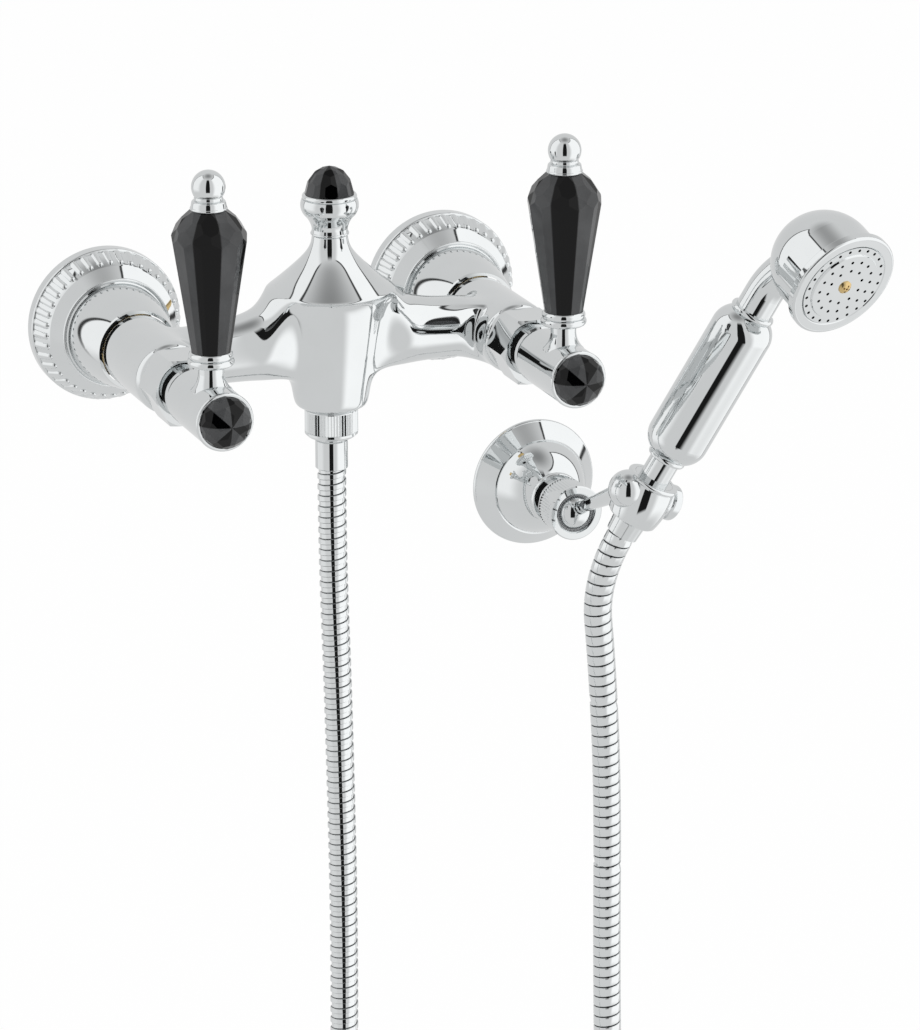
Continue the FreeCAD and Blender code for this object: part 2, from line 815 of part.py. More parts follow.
def lever_tip():
    collar_end = crystal_top + tip_collar_length
    neck_end = collar_end + 1.8
    tip = turned(
        (0, crystal_top),
        (tip_collar_radius - 0.3, crystal_top),
        (tip_collar_radius, crystal_top + 0.5, tip_collar_radius - 0.3, crystal_top + 1.2),
        (tip_collar_radius - 0.6, collar_end - 0.8),
        (tip_collar_radius - 0.9, collar_end - 0.2, tip_neck_radius + 0.6, collar_end),
        (tip_neck_radius, collar_end),
        (tip_neck_radius + 0.2, (collar_end + neck_end) / 2, tip_neck_radius - 0.2, neck_end),
        (0, neck_end),
    )
    tip = tip.fuse(Part.makeSphere(tip_ball_radius, Vector(0, 0, ball_centre)))
    return on_stem(tip.cut(bar(rod_radius + thread_clearance, crystal_top - 1, collar_end + 2.3)))


def lever_side(shape, side):
    moved = shape.copy()
    moved.translate(Vector(side * valve_x, 0, 0))
    return moved


# Wall bracket
bracket_base = Vector(bracket_x, 0, bracket_z)
ball_point = Vector(bracket_x, -ball_depth, bracket_z)
cup_radius = ball_radius + running_clearance + cup_wall
seat_radius = cup_radius + running_clearance


def on_bracket(shape):
    return stood(shape, bracket_base, outward)


def bracket_flange():
    """Conical outer ring, convex bell and front collar in one pressed cover."""
    hole = post_radius + running_clearance
    wall = bracket_wall
    outer = bracket_flange_radius
    step = bracket_step_radius
    step_depth = bracket_step_depth
    bell = bracket_bell_end
    collar = bracket_collar_radius
    cover = turned(
        (outer - wall, 0),
        (outer, 0),
        (outer + 0.1, 1.0, outer - 0.6, 2.0),
        (step, step_depth),
        (step - 0.6, step_depth - 0.1),
        (bracket_bell_radius, step_depth + bracket_bell_rise, collar - 0.8, bell),
        (collar - 0.4, bell),
        (collar + 0.25, bell + 0.5 * bracket_collar_length, collar - 0.4, bell + bracket_collar_length),
        (hole, bell + bracket_collar_length),
        (hole, bell - 2.0),
        (bracket_bell_radius - wall, step_depth + bracket_bell_rise - wall, step - wall - 0.6, step_depth - wall),
        (outer - wall - 0.6, 1.2),
    )
    return on_bracket(cover)


def bracket_post():
    """Base plate with two screw holes, post and spherical seat for the ball cup."""
    end = ball_depth - post_seat_gap
    post = bar(plate_radius, 0, plate_thickness).fuse(bar(post_radius, 0, end))
    for side in (-1, 1):
        hole = bar(screw_radius + loose_clearance, -1, plate_thickness + 1)
        hole.translate(Vector(side * screw_spacing / 2, 0, 0))
        post = post.cut(hole)
    seat = Part.makeSphere(seat_radius, Vector(0, 0, ball_depth))
    return on_bracket(post.cut(seat))


def bracket_screws():
    screws = []
    for side in (-1, 1):
        head_end = plate_thickness + screw_head_length
        screw = turned(
            (0, plate_thickness - screw_length),
            (screw_radius * 0.3, plate_thickness - screw_length),
            (screw_radius, plate_thickness - screw_length + 4),
            (screw_radius, plate_thickness - screw_shank_length),
            (screw_shank_radius, plate_thickness - screw_shank_length),
            (screw_shank_radius, plate_thickness),
            (screw_head_radius, plate_thickness),
            (screw_head_radius * 0.8, plate_thickness + 0.75 * screw_head_length, 0, head_end),
        )
        slot = Part.makeBox(1.0, 2 * screw_head_radius, 1.2, Vector(-0.5, -screw_head_radius, head_end - 1.1))
        screw = screw.cut(slot)
        screw.translate(Vector(side * screw_spacing / 2, 0, 0))
        screws.append(on_bracket(screw))
    return Part.makeCompound(screws)


def lock_nut():
    """Knurled ring nut with a plain front bezel and a spherical lip over the ball cup."""
    radius = lock_nut_radius
    back = lock_nut_back
    front = lock_nut_front
    nut = turned(
        (0, back),
        (radius - 1.0, back),
        (radius - 0.4, back + 0.8),
        (radius - 0.4, front - 1.6),
        (radius, front - 1.6),
        (radius, front - 0.5),
        (radius - 0.5, front),
        (0, front),
    )
    nut = knurled(nut, radius - 0.4, back + 1.6, front - 2.4)
    nut = nut.cut(bar(post_radius + running_clearance, back - 1, ball_depth - post_seat_gap + 1))
    nut = nut.cut(Part.makeSphere(seat_radius, Vector(0, 0, ball_depth)))
    mouth = turned((0, ball_depth), (lock_nut_opening, ball_depth), (lock_nut_opening, front - 0.6),
                   (lock_nut_opening + 0.8, front + 0.2), (0, front + 0.2))
    return on_bracket(nut.cut(mouth))


# Directions of the swivel arm, the handset's axis, the knob and the spray face
def direction(heading, rise):
    """Unit vector: heading is measured from straight out towards the right, rise from level."""
    level = math.cos(math.radians(rise))
    turn = math.radians(heading)
    return Vector(level * math.sin(turn), -level * math.cos(turn), math.sin(math.radians(rise)))


def rolled(axis, roll):
    """Unit vector square to an axis, turned about it from the level line across it."""
    level = up.cross(axis)
    level.normalize()
    other = axis.cross(level)
    turn = math.radians(roll)
    return level * math.cos(turn) + other * math.sin(turn)


arm_axis = direction(arm_heading, arm_rise)
arm_level = direction(arm_heading + 90, 0)
handset_axis = direction(handset_heading, handset_rise)
knob_axis = rolled(handset_axis, knob_roll)
face_side = rolled(handset_axis, face_roll)
face_normal = face_side * math.cos(math.radians(face_tilt)) - handset_axis * math.sin(math.radians(face_tilt))
arm_end = ball_point + arm_axis * arm_length
holder_middle = holder_top - holder_height / 2
grip_foot = arm_end + knob_axis * holder_offset - handset_axis * (holder_middle + cross_rise)
head_centre = grip_foot + handset_axis * head_height + face_side * head_forward


def ball_cup():
    """Nylon ball cup: a spherical shell, open at the front and at the back."""
    shell = Part.makeSphere(cup_radius).cut(Part.makeSphere(ball_radius + running_clearance))
    size = 4 * cup_radius
    front = Part.makeBox(size, size, size, Vector(-size / 2, -size / 2, ball_radius * 0.32))
    back = Part.makeBox(size, size, size, Vector(-size / 2, -size / 2, -size - ball_radius * 0.77))
    return framed(shell.cut(front).cut(back), ball_point, sideways, outward)


def along_arm(shape):
    return framed(shape, ball_point, arm_level, arm_axis)


def ball_stud():
    """Ball with a grooved neck and a short thread that the swivel arm screws on."""
    thread = stud_neck_radius * 0.7
    neck = turned(
        (0, 0),
        (stud_neck_radius + 0.6, 0),
        (stud_neck_radius + 0.6, ball_radius + 0.4),
        (stud_neck_radius - 0.3, ball_radius + 0.4),
        (stud_neck_radius - 0.3, ball_radius + 1.4),
        (stud_neck_radius + 0.4, ball_radius + 1.4),
        (stud_neck_radius + 0.4, stud_neck_end),
        (thread, stud_neck_end),
        (thread, stud_neck_end + socket_thread_length),
        (0, stud_neck_end + socket_thread_length),
    )
    return along_arm(Part.makeSphere(ball_radius).fuse(neck))


def swivel_arm():
    thread = stud_neck_radius * 0.7
    rod = turned(
        (0, stud_neck_end),
        (stud_neck_radius, stud_neck_end),
        (rod_end_radius, arm_length),
        (0, arm_length),
    )
    hole = bar(thread + running_clearance, stud_neck_end - 1, stud_neck_end + socket_thread_length + 0.5)
    rod = along_arm(rod.cut(hole))
    return rod.cut(holder_solid())


# Holder, on the handset's axis with the knob along X
def in_holder(shape):
    return framed(shape, grip_foot, knob_axis, handset_axis)


def cross_shape(shape):
    """Places a shape made along Z on the knob's axis of the holder."""
    middle = holder_middle + cross_rise
    return in_holder(framed(shape, Vector(0, 0, middle), up, sideways))


def holder_solid():
    top = holder_top
    foot = holder_top - holder_height
    rim = holder_rim_radius
    barrel = turned(
        (0, foot),
        (holder_radius - 1.4, foot),
        (holder_radius - 0.8, foot + 0.6),
        (holder_radius + 0.3, (foot + top) / 2, holder_radius - 0.9, top - 2.4),
        (rim - 0.6, top - 2.0),
        (rim + 0.1, top - 1.0, rim - 0.7, top),
        (0, top),
    )
    cross = turned(
        (0, cross_back),
        (cross_radius * 0.75, cross_back + 2.6, cross_radius, cross_back + 9.0),
        (cross_radius, cross_front - 1.0),
        (cross_radius - 1.0, cross_front),
        (0, cross_front),
    )
    size = 4 * holder_radius
    flat = Part.makeBox(size, size, size, Vector(cross_front, -size / 2, holder_middle - size / 2))
    return in_holder(barrel).fuse(cross_shape(cross)).cut(in_holder(flat))


def cone_radius(place):
    """Radius of the hose cone at a place along the handset's axis."""
    share = (holder_top - place) / cone_length
    return cone_top_radius + (cone_foot_radius - cone_top_radius) * share


def holder():
    top = holder_top + 3
    foot = holder_top - holder_height - 1
    socket = turned((0, foot), (cone_radius(foot) + cone_gap, foot), (cone_radius(top) + cone_gap, top), (0, top))
    solid = holder_solid().cut(in_holder(socket))
    hole = bar(knob_shaft_radius + running_clearance, 0, cross_front + 1)
    return solid.cut(cross_shape(hole))


def holder_knob():
    head = turned(
        (0, cross_front + knob_gap),
        (knob_radius - 0.8, cross_front + knob_gap),
        (knob_radius, cross_front + 1.1),
        (knob_radius, cross_front + knob_length - 1.0),
        (knob_radius - 0.3, cross_front + knob_length - 0.3, knob_radius - 1.2, cross_front + knob_length),
        (0, cross_front + knob_length),
    )
    shaft_end = cone_radius(holder_middle + cross_rise) + knob_shaft_gap
    shaft = bar(knob_shaft_radius, shaft_end, cross_front + knob_gap)
    return cross_shape(head.fuse(shaft))


# Handset, on its own axis with the spray face towards X
def on_handset(shape):
    return framed(shape, grip_foot, face_side, handset_axis)


def on_head(shape):
    across = face_normal.cross(handset_axis)
    across.normalize()
    return framed(shape, head_centre, across, face_normal)


def hose_cone():
    """Conical hose nut: threaded on the handset at the top, square end for the hose at the foot."""
    top = holder_top
    foot = holder_top - cone_length
    cone = turned((0, foot), (cone_foot_radius, foot), (cone_top_radius, top), (0, top))
    cone = cone.cut(bar(cone_thread_radius + thread_clearance, top - cone_thread_length, top + 1))
    cone = cone.cut(bar(hose_bore_radius, foot - 1, top))
    return on_handset(cone)


def handset_grip():
    top = grip_length
    edge = grip_round
    ring = grip_ring_length
    collar = grip_collar_length
    grip = turned(
        (0, holder_top - cone_thread_length + 0.5),
        (cone_thread_radius, holder_top - cone_thread_length + 0.5),
        (cone_thread_radius, holder_top),
        (grip_neck_radius, holder_top),
        (grip_neck_radius, -ring),
        (grip_ring_radius, -ring),
        (grip_ring_radius + 0.3, -0.5 * ring, grip_ring_radius, 0),
        (grip_radius - 0.157 * edge, 0.42 * edge, grip_radius, edge),
        (grip_radius, top - edge),
        (grip_radius - 0.14 * edge, top - 0.4 * edge, grip_collar_radius - 1.0, top),
        (grip_collar_radius - 0.4, top),
        (grip_collar_radius, top + 0.5 * collar, grip_collar_radius - 0.4, top + collar),
        (0, top + collar),
    )
    bore = bar(grip_bore_radius, holder_top - cone_thread_length - 1, top + collar + 1)
    return on_handset(grip.cut(bore))


def neck_path():
    """Straight run, bend towards the face and short run into the head, in the XZ plane."""
    low = grip_length + grip_collar_length
    bend = math.radians(neck_bend)
    start = Vector(0, 0, low)
    straight_end = Vector(0, 0, low + neck_straight)

    def on_bend(angle):
        return straight_end + Vector(neck_bend_radius * (1 - math.cos(angle)), 0, neck_bend_radius * math.sin(angle))

    bend_end = on_bend(bend)
    finish = bend_end + Vector(math.sin(bend), 0, math.cos(bend)) * neck_run_in
    arc = Part.Arc(straight_end, on_bend(bend / 2), bend_end).toShape()
    return Part.Wire([Part.makeLine(start, straight_end), arc, Part.makeLine(bend_end, finish)])


def along_neck(radius):
    low = grip_length + grip_collar_length
    circle = Part.Wire([Part.makeCircle(radius, Vector(0, 0, low), up)])
    return neck_path().makePipeShell([circle], True, False)


def handset_head():
    """Bent neck, round back and short cylinder, hollow for the water."""
    back = Part.makeSphere(head_radius)
    front = bar(head_radius, 0, head_depth)
    box = Part.makeBox(4 * head_radius, 4 * head_radius, 2 * head_radius,
                       Vector(-2 * head_radius, -2 * head_radius, 0))
    shell = on_head(back.cut(box).fuse(front))
    inner = head_radius - head_wall
    hollow = on_head(Part.makeSphere(inner).cut(box).fuse(bar(inner, 0, head_depth + 1)))
    boss = on_head(bar(spray_boss_radius, -head_radius + 0.6 * head_wall, head_depth - loose_clearance))
    screw_hole = on_head(bar(spray_screw_radius + thread_clearance, head_depth - 10, head_depth + 1))
    head = shell.fuse(on_handset(along_neck(head_neck_radius)))
    head = head.cut(hollow).fuse(boss)
    return head.cut(on_handset(along_neck(grip_bore_radius))).cut(screw_hole)


def head_gasket():
    inner = head_radius - head_wall
    return on_head(tube(head_radius - 0.2, inner, head_depth, head_depth + gasket_thickness))


def spray_plate():
    """Stepped plate with three rings of water holes round a screw."""
    back = head_depth + gasket_thickness
    front = back + spray_thickness
    plate = turned(
        (0, back),
        (head_radius - 0.2, back),
        (head_radius - 0.2, back + 0.8),
        (face_ring_inner - 0.1, back + 0.8),
        (face_ring_inner - 0.1, front),
        (spray_step_radius + 0.4, front),
        (spray_step_radius, front + 0.8),
        (0, front + 0.8),
    )
    holes = [bar(spray_screw_radius + loose_clearance, back - 1, front + 2)]
    for ring_radius, count in hole_rings:
        for number in range(count):
            turn = 2 * math.pi * number / count
            hole = bar(hole_radius, back - 1, front + 2)
            hole.translate(Vector(ring_radius * math.cos(turn), ring_radius * math.sin(turn), 0))
            holes.append(hole)
    return on_head(plate.cut(holes))


def face_ring():
    back = head_depth - 1.0
    front = back + face_ring_thickness
    seat = head_depth + gasket_thickness + 0.8
    ring = turned(
        (head_radius + thread_clearance, back),
        (face_ring_radius - 0.6, back),
        (face_ring_radius, back + 0.6),
        (face_ring_radius, front - 1.2),
        (face_ring_radius - 0.3, front - 0.3, face_ring_radius - 1.3, front),
        (face_ring_inner + 0.6, front),
        (face_ring_inner, front - 0.5),
        (face_ring_inner, seat),
        (head_radius + thread_clearance, seat),
    )
    return on_head(ring)


def spray_screw():
    seat = head_depth + gasket_thickness + spray_thickness + 0.8
    head_end = seat + spray_screw_head_length
    screw = turned(
        (0, head_depth - 8),
        (spray_screw_radius, head_depth - 8),
        (spray_screw_radius, seat),
        (spray_screw_head_radius, seat),
        (spray_screw_head_radius, seat + 0.4),
        (spray_screw_head_radius * 0.7, seat + 0.85 * spray_screw_head_length, 0, head_end),
    )
    for turn in (0, 90):
        slot = Part.makeBox(3.6, 0.7, 1.0, Vector(-1.8, -0.35, head_end - 0.9))
        slot.rotate(Vector(0, 0, 0), up, turn)
        screw = screw.cut(slot)
    return on_head(screw)


# Hose fittings under the vessel
def hose_nut():
    top = vessel_foot - hose_nut_gap
    foot = hose_nut_foot
    nut = turned(
        (0, foot),
        (hose_nut_radius - 1.2, foot),
        (hose_nut_radius, foot + 1.2),
        (hose_nut_radius, top - 0.4),
        (hose_nut_radius - 0.4, top),
        (0, top),
    )
    nut = knurled(nut, hose_nut_radius, foot + 2.2, top - 0.8)
    nut = nut.cut(bar(hose_thread_radius + thread_clearance, flange_foot, top + 1))
    nut = nut.cut(bar(ferrule_neck_radius + loose_clearance, foot - 1, top))
    return stood(nut, Vector(0, -arm_depth, 0), up)


def hose_washer():
    ring = tube(ferrule_flange_radius, outlet_bore_radius, washer_foot, nipple_foot)
    return stood(ring, Vector(0, -arm_depth, 0), up)


def hose_ferrule():
    neck_foot = hose_nut_foot - ferrule_neck_length
    foot = hose_start.z
    ferrule = turned(
        (hose_bore_radius, foot),
        (ferrule_radius - 0.4, foot),
        (ferrule_radius, foot + 0.4),
        (ferrule_radius, neck_foot - 0.5),
        (ferrule_neck_radius, neck_foot),
        (ferrule_neck_radius, flange_foot),
        (ferrule_flange_radius, flange_foot),
        (ferrule_flange_radius, washer_foot),
        (hose_bore_radius, washer_foot),
    )
    return stood(ferrule, Vector(0, -arm_depth, 0), up)


# Ribbed hose
def route_pieces(points):
    """Straight runs joined by tangent arcs: a list of (kind, start, direction, length, centre)."""
    pieces = []
    radii = []
    here = points[0]
    for before, corner, after in zip(points, points[1:], points[2:]):
        first = corner - before
        second = after - corner
        turn = first.getAngle(second)
        setback = 0.45 * min(first.Length, second.Length)
        radius = setback / math.tan(turn / 2)
        radii.append(radius)
        way_in = Vector(first)
        way_in.normalize()
        way_out = Vector(second)
        way_out.normalize()
        arc_start = corner - way_in * setback
        pieces.append(("run", here, way_in, (arc_start - here).Length, None))
        normal = way_in.cross(way_out)
        normal.normalize()
        centre = arc_start + normal.cross(way_in) * radius
        pieces.append(("arc", arc_start, normal, radius * turn, centre))
        here = corner + way_out * setback
    last = points[-1] - here
    length = last.Length
    last.normalize()
    pieces.append(("run", here, last, length, None))
    return pieces, radii


def station(pieces, distance):
    """Point and direction at a distance along the route."""
    for kind, start, direction_or_normal, length, centre in pieces:
        if distance <= length + 1e-9:
            break
        distance -= length
    if kind == "run":
        return start + direction_or_normal * distance, direction_or_normal
    arm = start - centre
    turn = FreeCAD.Rotation(direction_or_normal, math.degrees(distance / arm.Length))
    swung = turn.multVec(arm)
    way = direction_or_normal.cross(swung)
    way.normalize()
    return centre + swung, way


def hoop(pieces, distance, radius):
    """Circle square to the route, with a steady X axis."""
    point, way = station(pieces, distance)
    across = Vector(0, 1, 0) - way * way.y
    across.normalize()
    return Part.Wire([framed(Part.makeCircle(radius), point, across, way)])


def shower_hose():
    """Ribbed metal hose with its bore, along the route from the ferrule to the cone."""
    cone_end = grip_foot + handset_axis * (holder_top - cone_length)
    points = [hose_start] + [Vector(*point) for point in hose_middle]
    points = points + [cone_end - handset_axis * hose_last_run, cone_end]
    pieces, radii = route_pieces(points)
    total = sum(piece[3] for piece in pieces)
    plain = 2 * hose_radius
    pitch = (total - 2 * plain) / hose_rib_count
    groove = hose_radius - hose_groove_depth
    outer = [hoop(pieces, 0, groove)]
    stations = [0]
    for number in range(hose_rib_count):
        start = plain + number * pitch
        half_groove = hose_groove_share * pitch / 2
        ramp = 0.5 * half_groove
        for place, radius in ((start + half_groove, groove), (start + half_groove + ramp, hose_radius),
                              (start + pitch - half_groove - ramp, hose_radius),
                              (start + pitch - half_groove, groove)):
            outer.append(hoop(pieces, place, radius))
        stations.append(start)
    outer.append(hoop(pieces, total, groove))
    stations = stations + [total - plain, total]
    inner = [hoop(pieces, place, hose_bore_radius) for place in stations]
    hose = Part.makeLoft(outer, True, True).cut(Part.makeLoft(inner, True, True))
    expected = math.pi * (hose_radius ** 2 - hose_bore_radius ** 2) * total
    print("hose length", round(total, 1), "pitch", round(pitch, 3), "least radius", round(min(radii), 1))
    print("hose radii", [round(radius) for radius in radii])
    print("hose volume", round(hose.Volume), "of plain tube", round(expected), "valid", hose.isValid())
    return hose


# All sub-parts by name
def all_pieces():
    pieces = {}
    sides = (("left", -1), ("right", 1))
    union = inlet_union()
    nut = union_nut()
    nipple = inlet_nipple()
    flange = wall_flange()
    hexagon = bonnet()
    cartridge = valve_cartridge()
    for name, side in sides:
        pieces["inlet_union_" + name] = at_valve(union, side)
        pieces["union_nut_" + name] = at_valve(nut, side)
        pieces["inlet_nipple_" + name] = at_valve(nipple, side)
        pieces["wall_flange_" + name] = at_valve(flange, side)
        pieces["bonnet_" + name] = at_valve(hexagon, side)
        pieces["valve_cartridge_" + name] = at_valve(cartridge, side)
    both = {
        "union_washers": union_washer(),
        "seat_seals": seat_seal(),
        "fixed_discs": ceramic_disc(fixed_disc_back),
    }
    for name, shape in both.items():
        pieces[name] = Part.makeCompound([at_valve(shape, -1), at_valve(shape, 1)])
    along_depth = {"valve_spindle": valve_spindle(), "turning_disc": ceramic_disc(turning_disc_back)}
    lever = {
        "lever_hub": lever_hub(),
        "hub_screw": hub_screw(),
        "hub_cap": hub_cap(),
        "hub_crystal": hub_crystal(),
        "lever_collar": lever_collar(),
        "lever_crystal": lever_crystal(),
        "lever_rod": lever_rod(),
        "lever_tip": lever_tip(),
    }
    for name, side in sides:
        for piece, shape in along_depth.items():
            pieces[piece + "_" + name] = at_valve(shape, side)
        for piece, shape in lever.items():
            pieces[piece + "_" + name] = lever_side(shape, side)
    for make in (mixer_body, dome_cap, finial_cup, finial_crystal, outlet_nipple, hose_nut, hose_washer,
                 hose_ferrule, shower_hose, bracket_flange, bracket_post, bracket_screws, lock_nut, ball_cup,
                 ball_stud, swivel_arm, holder, holder_knob, hose_cone, handset_grip, handset_head,
                 head_gasket, spray_plate, face_ring, spray_screw):
        pieces[make.__name__] = make()
    return pieces


os.makedirs("parts", exist_ok=True)
for node, shape in all_pieces().items():
    shape.exportStep("parts/" + node + ".step")
    print(node, "solids", len(shape.Solids), "valid", shape.isValid(), "volume", round(shape.Volume))
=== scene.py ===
import bpy
import bmesh
import json
import math
import numpy as np
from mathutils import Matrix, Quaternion, Vector


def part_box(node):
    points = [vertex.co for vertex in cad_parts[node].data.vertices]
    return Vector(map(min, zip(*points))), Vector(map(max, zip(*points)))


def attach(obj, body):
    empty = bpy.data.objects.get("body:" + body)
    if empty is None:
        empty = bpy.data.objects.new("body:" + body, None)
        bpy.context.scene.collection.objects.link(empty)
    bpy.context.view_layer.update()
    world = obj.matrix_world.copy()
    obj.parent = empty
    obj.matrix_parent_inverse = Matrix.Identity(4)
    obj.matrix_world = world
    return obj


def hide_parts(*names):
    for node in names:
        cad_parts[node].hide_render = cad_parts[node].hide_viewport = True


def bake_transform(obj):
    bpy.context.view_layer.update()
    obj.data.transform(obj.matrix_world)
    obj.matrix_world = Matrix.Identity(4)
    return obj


# Wall-mounted shower mixer with crystal levers, handset, ribbed hose and wall bracket, in metres

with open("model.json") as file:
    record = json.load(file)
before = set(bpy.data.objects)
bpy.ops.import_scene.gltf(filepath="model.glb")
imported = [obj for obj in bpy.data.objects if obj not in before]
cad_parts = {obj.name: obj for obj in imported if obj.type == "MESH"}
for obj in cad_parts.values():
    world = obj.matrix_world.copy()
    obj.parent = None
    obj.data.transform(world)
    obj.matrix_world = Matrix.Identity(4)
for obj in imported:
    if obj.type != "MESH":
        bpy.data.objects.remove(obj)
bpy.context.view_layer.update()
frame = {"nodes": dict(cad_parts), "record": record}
nodes = frame["nodes"]
slotOf = {part["node"]: part["material_slot"] for part in frame["record"]["subparts"]}
print("frame loaded:", len(nodes), "nodes")


# Camera, at the photograph's angle
cameraSetup = {
    "place": (-0.70618, -1.94172, 0.59831),
    "target": (0.08543, 0.0, -0.10533),
    "lens": 178.34,
    "sensorHeight": 36.0,
    "clipEnd": 50.0,
}


def buildCamera(setup):
    data = bpy.data.cameras.new("photoCamera")
    data.sensor_fit = "VERTICAL"
    data.sensor_height = setup["sensorHeight"]
    data.lens = setup["lens"]
    data.clip_end = setup["clipEnd"]
    camera = bpy.data.objects.new("photoCamera", data)
    bpy.context.scene.collection.objects.link(camera)
    camera.location = setup["place"]
    sight = Vector(setup["target"]) - Vector(setup["place"])
    camera.rotation_euler = sight.to_track_quat("-Z", "Y").to_euler()
    bpy.context.scene.camera = camera


buildCamera(cameraSetup)
bpy.context.scene.view_settings.view_transform = "Standard"
print("camera placed")


# Shader maths: a socket that adds, subtracts and multiplies like a number
class Wire:
    def __init__(self, tree, socket=None):
        self.tree = tree
        self.socket = socket

    def make(self, kind, settings=None, inputs=None, output=0):
        node = self.tree.nodes.new(kind)
        for name, value in (settings or {}).items():
            setattr(node, name, value)
        for name, value in (inputs or {}).items():
            if isinstance(value, Wire):
                self.tree.links.new(value.socket, node.inputs[name])
            else:
                node.inputs[name].default_value = value
        return Wire(self.tree, node.outputs[output])

    def maths(self, operation, first, second=0.0):
        return self.make("ShaderNodeMath", {"operation": operation}, {0: first, 1: second})

    def __add__(self, other):
        return self.maths("ADD", self, other)

    def __radd__(self, other):
        return self.maths("ADD", other, self)

    def __sub__(self, other):
        return self.maths("SUBTRACT", self, other)

    def __rsub__(self, other):
        return self.maths("SUBTRACT", other, self)

    def __mul__(self, other):
        return self.maths("MULTIPLY", self, other)

    def __rmul__(self, other):
        return self.maths("MULTIPLY", other, self)

    def step(self, low, high):
        return self.make("ShaderNodeMapRange", {"interpolation_type": "SMOOTHSTEP"},
                         {"Value": self, "From Min": low, "From Max": high})


def finishTree(tree, shade, kind="ShaderNodeOutputMaterial"):
    out = tree.nodes.new(kind)
    tree.links.new(shade.socket, out.inputs["Surface"])


def newMaterial(name):
    material = bpy.data.materials.new(name)
    material.use_nodes = True
    tree = material.node_tree
    tree.nodes.clear()
    return material, tree


# Studio: a pale tent round the object, darker overhead, with a dark gap where the camera looks in.
# Turns are in degrees to the right of the camera, rises in degrees above the horizon
studio = {
    "tent": 0.77,
    "overhead": 0.30,
    "overheadRise": (56.0, 88.0),   # where the tent starts and ends to darken
    # White boards: left and right end, soft edge of each, lowest and highest rise, brightness
    "boards": ((30.0, 130.0, 24.0, 1.5, -58.0, 60.0, 1.22), (-118.0, -48.0, 1.5, 26.0, -30.0, 62.0, 1.10)),
    "boardFoot": 22.0,      # soft lower edge of a board
    "hardEdge": 1.5,
    "seam": 2.4,            # width of the dark line along a board's hard edges
    "seamFoot": 30.0,
    "seamDark": 0.93,
    "slotHalf": 15.0,
    "slotLow": -32.0,
    "slotHigh": 66.0,
    "slotEdges": (2.0, 8.0, 14.0),  # soft edges at the slot's sides, foot and top
    "slotTone": 0.012,
    # Lamps: name, place, size and share of the power
    "lamps": (("keyLamp", (-1.6, -1.6, 1.9), 1.2, 1.0), ("fillLamp", (2.0, -1.7, 0.9), 1.4, 0.6),
              ("backLamp", (0.4, 1.9, 1.6), 1.2, 0.5)),
    "lampAim": (0.05, -0.08, -0.1),
    "lampPower": 9.0,
    "floorHeight": -0.66,
    "floorSize": 14.0,
    "floorPaper": 0.9,
    "floorGlow": 0.97,      # share of plain white in the floor that the camera sees
}


def between(value, low, high, lowEdge, highEdge):
    return value.step(low, low + lowEdge) * (1.0 - value.step(high - highEdge, high))


def withBoard(tone, turn, rise, board, setup):
    # Lays a white board over the tone, and a dark line along its hard edges
    west, east, westEdge, eastEdge, low, high, white = board
    seam, hard = setup["seam"], setup["hardEdge"]
    inside = between(turn, west, east, westEdge, eastEdge) * between(rise, low, high, setup["boardFoot"], hard)
    line = between(turn, west - seam, east + seam, hard, hard)
    line = line * between(rise, low, high + seam, setup["seamFoot"], hard)
    line = line * (1.0 - between(turn, west, east, hard, hard) * between(rise, low, high, hard, hard))
    if westEdge > hard:
        line = line * turn.step(west, west + westEdge)
    if eastEdge > hard:
        line = line * (1.0 - turn.step(east - eastEdge, east))
    tone = tone * (1.0 - inside) + white * inside
    return tone * (1.0 - setup["seamDark"] * line)


def buildWorld(setup):
    world = bpy.data.worlds.new("studioTent")
    bpy.context.scene.world = world
    world.use_nodes = True
    tree = world.node_tree
    tree.nodes.clear()
    start = Wire(tree)
    look = Vector(cameraSetup["place"]) - Vector(cameraSetup["target"])
    front = Vector((look.x, look.y, 0.0)).normalized()
    right = Vector((-front.y, front.x, 0.0))
    ray = start.make("ShaderNodeTexCoord", output="Generated")
    east, near, high = [start.make("ShaderNodeVectorMath", {"operation": "DOT_PRODUCT"}, {0: ray, 1: way}, "Value")
                        for way in (right, front, Vector((0.0, 0.0, 1.0)))]
    turn = start.maths("ARCTAN2", east, near) * math.degrees(1.0)
    rise = start.maths("ARCSINE", high) * math.degrees(1.0)
    tone = setup["tent"] + (setup["overhead"] - setup["tent"]) * rise.step(*setup["overheadRise"])
    for board in setup["boards"]:
        tone = withBoard(tone, turn, rise, board, setup)
    sideEdge, footEdge, topEdge = setup["slotEdges"]
    slot = between(turn, -setup["slotHalf"], setup["slotHalf"], sideEdge, sideEdge)
    slot = slot * between(rise, setup["slotLow"], setup["slotHigh"], footEdge, topEdge)
    tone = tone * (1.0 - slot) + setup["slotTone"] * slot
    cameraRay = start.make("ShaderNodeLightPath", output="Is Camera Ray")
    tone = tone * (1.0 - cameraRay) + cameraRay
    shade = start.make("ShaderNodeBackground", None, {"Color": tone, "Strength": 1.0})
    finishTree(tree, shade, "ShaderNodeOutputWorld")


